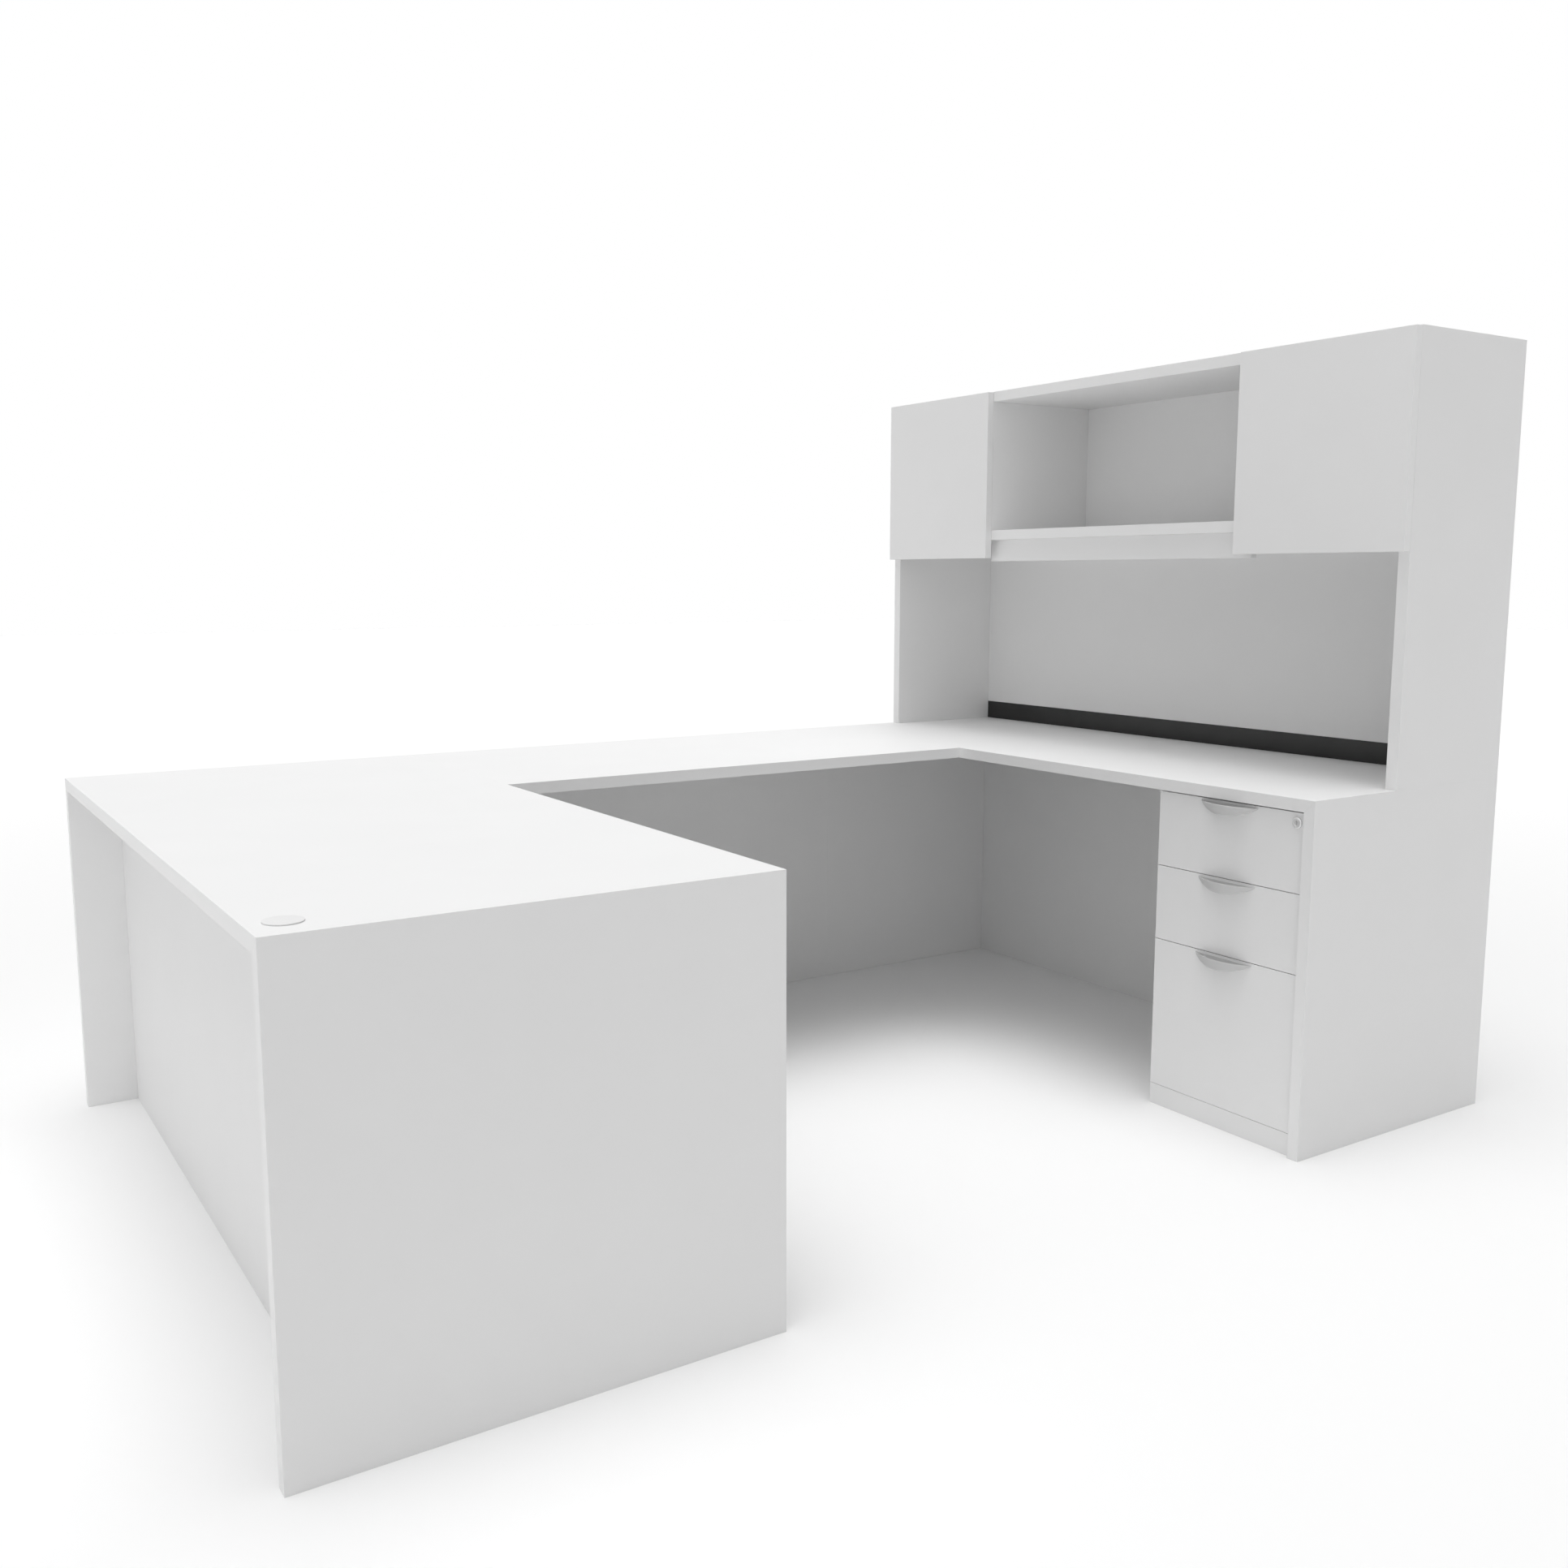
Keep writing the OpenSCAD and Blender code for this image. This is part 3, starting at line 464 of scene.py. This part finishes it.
SCREW_SEGMENTS = 20
PAN_HEAD_SHARES = ((1.0, 0.0), (1.0, 0.30), (0.94, 0.66), (0.80, 0.92), (0.64, 1.0))  # of radius and height
RECESS_REACH_SHARE, RECESS_WIDTH_SHARE = 0.52, 0.13  # half its length and half its width, of the radius
RECESS_DEPTH_SHARE = 0.75  # of the head's height
RECESS_TAPER_SHARE = 0.5  # size of its floor, of its mouth's size
HEAD_WIDTH_SHARE = 0.8  # corners further out than this share of the widest are the head's
POINT_SHARES = ((1, 0), (1, 0.8), (0.35, 0.97), (0, 1))  # of the shank's radius and length
SHANK_END = 0.01 * MM  # corners this near the lowest one are the shank's end


def screw_head(bm, place, radius, height, neck=0.0):
    """A domed head with a cross recess, on the place's own Z. The neck is the radius of a shank under it."""
    dome = [(r * radius, h * height) for r, h in PAN_HEAD_SHARES]
    rings = turned(bm, [(neck, 0), *dome], place, SCREW_SEGMENTS)
    reach, half = RECESS_REACH_SHARE * radius, RECESS_WIDTH_SHARE * radius
    floor = height * (1 - RECESS_DEPTH_SHARE)
    quarter = ((reach, -half), (reach, half), (half, half))
    outline = [Matrix.Rotation(k * pi / 2, 2) @ Vector(p) for k in range(4) for p in quarter]
    upper = [bm.verts.new(place @ Vector((*p, height))) for p in outline]
    lower = [bm.verts.new(place @ Vector((*(p * RECESS_TAPER_SHARE), floor))) for p in outline]
    rim = rings[-1]
    edges = [bm.edges.get((rim[k - 1], rim[k])) for k in range(len(rim))]
    edges += [bm.edges.new((upper[k - 1], upper[k])) for k in range(len(upper))]
    bmesh.ops.triangle_fill(bm, edges=edges, use_beauty=True)
    join_rings(bm, [upper, lower])
    bm.faces.new(lower)
    return rings


def screw(bm, corners):
    """A screw in the place and size of a CAD screw, whose head is its wider end."""
    low, high = extent(corners)
    size, centre = high - low, (low + high) / 2
    along = (X_AXIS, Y_AXIS, Z_AXIS)[max(range(3), key=lambda k: size[k])].copy()

    def height(corner):
        return (corner - centre).dot(along)

    def width(corner):
        return ((corner - centre) - along * height(corner)).length

    widest = max(width(c) for c in corners)
    head = [c for c in corners if width(c) > HEAD_WIDTH_SHARE * widest]
    if sum(height(c) for c in head) < 0:
        along.negate()
    bottom, top = min(height(c) for c in corners), max(height(c) for c in corners)
    base = min(height(c) for c in head)
    shank = max(width(c) for c in corners if height(c) < bottom + SHANK_END)
    place = facing(centre + along * base, along)
    rings = screw_head(bm, place, widest, top - base, shank)
    tip = bottom - base
    point = turned(bm, [(r * shank, h * tip) for r, h in POINT_SHARES], place, SCREW_SEGMENTS)
    bmesh.ops.weld_verts(bm, targetmap=dict(zip(point[0], rings[0])))


def screws(node, body):
    bm = bmesh.new()
    for corners in solid_corners(node):
        screw(bm, corners)
    add_built_piece(bm, f"{node}_recessed", body, "zinc", [node])


# Drawer pulls: a scoop between an arc seen from above and an arc seen from the front

PULL_STATIONS, PULL_CORNER_STEPS, PULL_RIM_STEPS = 48, 6, 8
PULL_WALL, PULL_BACK, PULL_CORNER = 2.5 * MM, 1.5 * MM, 6 * MM
THINNEST_SECTION = 0.02 * MM
# Where the scoop narrows, these keep its walls, rims and corners from crossing
BACK_SHARE, CORNER_SHARE = 0.25, 0.35  # at most, of the section
RIM_SHARE, HOLLOW_RIM_SHARE = 0.3, 0.8  # at most, of the section's height and of the hollow's
HOLLOW_REACH_SHARE, HOLLOW_FALL_SHARE = 0.05, 0.1  # at least, of the section
POST_RADIUS, POST_LENGTH, POST_TAPER = 4 * MM, 10 * MM, 2 * MM
POST_HALF_SPAN, POST_DROP = 48 * MM, 8 * MM
POST_SEGMENTS = 24


def arc_depth(half, depth, x, inset=0.0):
    """Depth at x of a flat arc over a chord of that half length, with its radius cut by the inset."""
    radius = (half ** 2 + depth ** 2) / (2 * depth)
    return max((radius - inset) ** 2 - x ** 2, 0) ** 0.5 - (radius - depth)


def even_turn(angle, steps):
    """Angles from zero up to this one in even steps."""
    return [angle * k / steps for k in range(steps + 1)]


def pull_section(half, depth, height, x):
    """Closed section of the scoop at x, as distances outward from the front and upward from the rim."""
    reach, fall = (max(arc_depth(half, d, x), THINNEST_SECTION) for d in (depth, height))
    back = min(PULL_BACK, BACK_SHARE * reach)
    inner_reach = max(arc_depth(half, depth, x, PULL_WALL), back + HOLLOW_REACH_SHARE * reach)
    inner_fall = max(arc_depth(half, height, x, PULL_WALL), HOLLOW_FALL_SHARE * fall)
    rim = (reach - inner_reach) / 2
    rise = min(rim, RIM_SHARE * fall, HOLLOW_RIM_SHARE * inner_fall)
    corner = min(PULL_CORNER, CORNER_SHARE * reach, CORNER_SHARE * fall)
    inner_corner = min(PULL_CORNER, CORNER_SHARE * (inner_reach - back), CORNER_SHARE * inner_fall)
    quarter = even_turn(pi / 2, PULL_CORNER_STEPS)
    half_turn = even_turn(pi, PULL_RIM_STEPS)
    outer_corner = [(reach - corner * (1 - sin(a)), corner * (1 - cos(a)) - fall) for a in quarter]
    front_rim = [(inner_reach + rim * (1 + cos(a)), rise * (sin(a) - 1)) for a in half_turn]
    hollow_corner = [
        (inner_reach - inner_corner * (1 - cos(a)), inner_corner * (1 - sin(a)) - inner_fall) for a in quarter
    ]
    back_rim = [(back / 2 * (1 + cos(a)), back / 2 * (sin(a) - 1)) for a in half_turn]
    return [(0, -fall), *outer_corner, *front_rim, *hollow_corner, (back, -inner_fall), *back_rim]


def drawer_pull(level):
    """A half-moon scoop, open at the top, with two posts for its screws inside."""
    low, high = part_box(f"{level}_drawer_pull")
    half, depth, height = (high.x - low.x) / 2, high.y - low.y, high.z - low.z
    front, rim, middle = high.y, high.z, (low.x + high.x) / 2
    bm = bmesh.new()
    rings = []
    for turn in even_turn(pi, PULL_STATIONS):
        x = -half * cos(turn)
        section = pull_section(half, depth, height, x)
        rings.append([bm.verts.new((middle + x, front - out, rim + up)) for out, up in section])
    join_rings(bm, rings)
    for end in (rings[0], rings[-1]):
        bm.faces.new(end)
    post = [(0, 0), (POST_RADIUS, 0), (POST_RADIUS, POST_LENGTH - POST_TAPER), (0, POST_LENGTH - PULL_BACK)]
    for side in (-1, 1):
        foot = Vector((middle + side * POST_HALF_SPAN, front - PULL_BACK / 2, rim - POST_DROP))
        turned(bm, post, facing(foot, -Y_AXIS), POST_SEGMENTS)
    add_built_piece(bm, f"{level}_scoop_pull", f"{level}_drawer", "grey_plastic", [f"{level}_drawer_pull"])


# Grommet

SLEEVE_RADIUS, SLEEVE_WALL, FLANGE = 25 * MM, 1.2 * MM, 0.8 * MM
SPIGOT_GAP = 0.3 * MM
LINER_EDGE, CAP_EDGE = 0.3 * MM, 0.5 * MM
GROMMET_SEGMENTS = 72


def grommet():
    """The liner with its flange, and the cap with its spigot."""
    low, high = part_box("grommet_liner")
    centre = Matrix.Translation(((low.x + high.x) / 2, (low.y + high.y) / 2, 0))
    rim, inner, under = (high.x - low.x) / 2, SLEEVE_RADIUS - SLEEVE_WALL, high.z - FLANGE
    sleeve = [(inner, low.z), (SLEEVE_RADIUS, low.z), (SLEEVE_RADIUS, under)]
    flange = [(rim, under), (rim, high.z), (inner, high.z)]
    profile = softened(sleeve + flange, LINER_EDGE, closed=True, steps=2)
    bm = bmesh.new()
    turned(bm, profile, centre, GROMMET_SEGMENTS, closed=True)
    add_built_piece(bm, "grommet_liner_turned", "casework", "white_plastic", ["grommet_liner"])
    foot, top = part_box("grommet_cap")
    rim, spigot = (top.x - foot.x) / 2, inner - SPIGOT_GAP
    outline = [(0, top.z), (rim, top.z), (rim, high.z), (spigot, high.z), (spigot, foot.z), (0, foot.z)]
    bm = bmesh.new()
    turned(bm, softened(outline, CAP_EDGE), centre, GROMMET_SEGMENTS)
    add_built_piece(bm, "grommet_cap_turned", "grommet_lid", "white_plastic", ["grommet_cap"])


# Lock

BARREL_RADIUS, PLUG_RADIUS, RIM_HEIGHT = 8 * MM, 5.7 * MM, 5 * MM
RIM_BEVEL, RIM_BEVEL_DROP = 1.6 * MM, 1.2 * MM
MOUTH_BEVEL, MOUTH_BEVEL_DROP = 0.4 * MM, 0.5 * MM
RIM_EDGE, PLUG_EDGE, CAM_EDGE = 0.4 * MM, 0.15 * MM, 0.2 * MM
LOCK_SEGMENTS = 48


def lock():
    """The barrel with its bevelled collar, and the plug and cam that turn in it."""
    low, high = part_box("lock_housing")
    place = facing(Vector(((low.x + high.x) / 2, high.y, (low.z + high.z) / 2)), -Y_AXIS)
    rim, length = (high.x - low.x) / 2, high.y - low.y
    face = length - RIM_HEIGHT
    barrel = [(PLUG_RADIUS, 0), (BARREL_RADIUS, 0), (BARREL_RADIUS, face)]
    collar = [(rim, face), (rim, length - RIM_BEVEL_DROP), (rim - RIM_BEVEL, length)]
    mouth = [(PLUG_RADIUS + MOUTH_BEVEL, length), (PLUG_RADIUS, length - MOUTH_BEVEL_DROP)]
    profile = softened(barrel + collar + mouth, RIM_EDGE, closed=True, steps=2)
    bm = bmesh.new()
    turned(bm, profile, place, LOCK_SEGMENTS, closed=True)
    add_built_piece(bm, "lock_rim", "top_drawer", "nickel", ["lock_housing"])
    pressed("lock_plug", "drawer_lock", "nickel", PLUG_EDGE)
    pressed("lock_cam", "drawer_lock", "zinc", CAM_EDGE)


# Slides and hinges

SMALL_HEAD = (3.2 * MM, 1.2 * MM)  # radius and height
SLIDE_EDGE, SLIDE_SHEET = 0.3 * MM, 1.2 * MM
SLIDE_SCREW_SHARES = (0.08, 0.5, 0.92)
ARM_EDGE, SHORTEST_ARM_EDGE = 1.2 * MM, 8 * MM
SHORTEST_ARM = 30 * MM  # along Y; the mounting plates, in the same node, are shorter
ARM_SCREW_SHARES = (0.30, 0.78)
CUP_EDGE = 0.3 * MM
CUP_SCREW_RISE = 21.6 * MM


def head_set(name, body, places):
    """Small screw heads, such as those that hold a slide to its drawer."""
    bm = bmesh.new()
    for place in places:
        screw_head(bm, place, *SMALL_HEAD)
    add_built_piece(bm, name, body, "zinc")


def heads_along(low, high, x, direction, shares):
    """Places for screw heads at shares of a solid's length in Y, half way up its height."""
    height = (low.z + high.z) / 2
    return [facing(Vector((x, low.y + share * (high.y - low.y), height)), direction) for share in shares]


def slides():
    """The drawers' slides, with the screws that hold the inner members to the drawer boxes."""
    pressed("slide_cabinet_members", "casework", "zinc", SLIDE_EDGE)
    for level in LEVELS:
        pressed(f"{level}_slide_middle_members", f"{level}_slides", "zinc", SLIDE_EDGE)
        node = f"{level}_slide_drawer_members"
        pressed(node, f"{level}_drawer", "zinc", SLIDE_EDGE)
        left, right = sorted(map(extent, solid_corners(node)), key=lambda ends: ends[0].x)
        places = heads_along(*left, left[1].x - SLIDE_SHEET, -X_AXIS, SLIDE_SCREW_SHARES)
        places += heads_along(*right, right[0].x + SLIDE_SHEET, X_AXIS, SLIDE_SCREW_SHARES)
        head_set(f"{level}_slide_screws", f"{level}_drawer", places)


def hinges():
    """The hinges' arms on the hutch and their cups in the doors, each with its screws."""
    pressed("hinge_arms", "casework", "zinc", ARM_EDGE, SHORTEST_ARM_EDGE)
    places = []
    for low, high in map(extent, solid_corners("hinge_arms")):
        if high.y - low.y > SHORTEST_ARM:
            x, inward = (low.x, -X_AXIS) if low.x > 0 else (high.x, X_AXIS)
            places += heads_along(low, high, x, inward, ARM_SCREW_SHARES)
    head_set("hinge_arm_screws", "casework", places)
    for side in ("right", "left"):
        body, node = f"{side}_hutch_door", f"{side}_hinge_cups"
        pressed(node, body, "zinc", CUP_EDGE)
        places = []
        for low, high in map(extent, solid_corners(node)):
            middle = (low + high) / 2
            for up in (-CUP_SCREW_RISE, CUP_SCREW_RISE):
                places.append(facing(Vector((middle.x, high.y, middle.z + up)), Y_AXIS))
        head_set(f"{side}_cup_screws", body, places)


# All the hardware

SHEET_EDGE, GLIDE_EDGE, DOWEL_EDGE, STRIP_EDGE = 0.25 * MM, 0.6 * MM, 0.8 * MM, 0.4 * MM


def make_hardware():
    screws("fixing_screws", "casework")
    for level in LEVELS:
        screws(f"{level}_drawer_screws", f"{level}_drawer")
        drawer_pull(level)
    grommet()
    lock()
    slides()
    hinges()
    for node in ("corner_brackets", "joining_plates", "lock_keeper"):
        pressed(node, "casework", "zinc", SHEET_EDGE)
    pressed("file_rails", "bottom_drawer", "zinc", SHEET_EDGE)
    pressed("levelling_glides", "casework", "nylon", GLIDE_EDGE, SHORTEST_FACET)
    pressed("hutch_dowels", "casework", "beech", DOWEL_EDGE, SHORTEST_FACET)
    pressed("cable_strip", "casework", "black_plastic", STRIP_EDGE)


make_camera()
make_world()
make_floor()
make_boards()
make_hardware()

settings = bpy.context.scene.view_settings
settings.view_transform = "Standard"
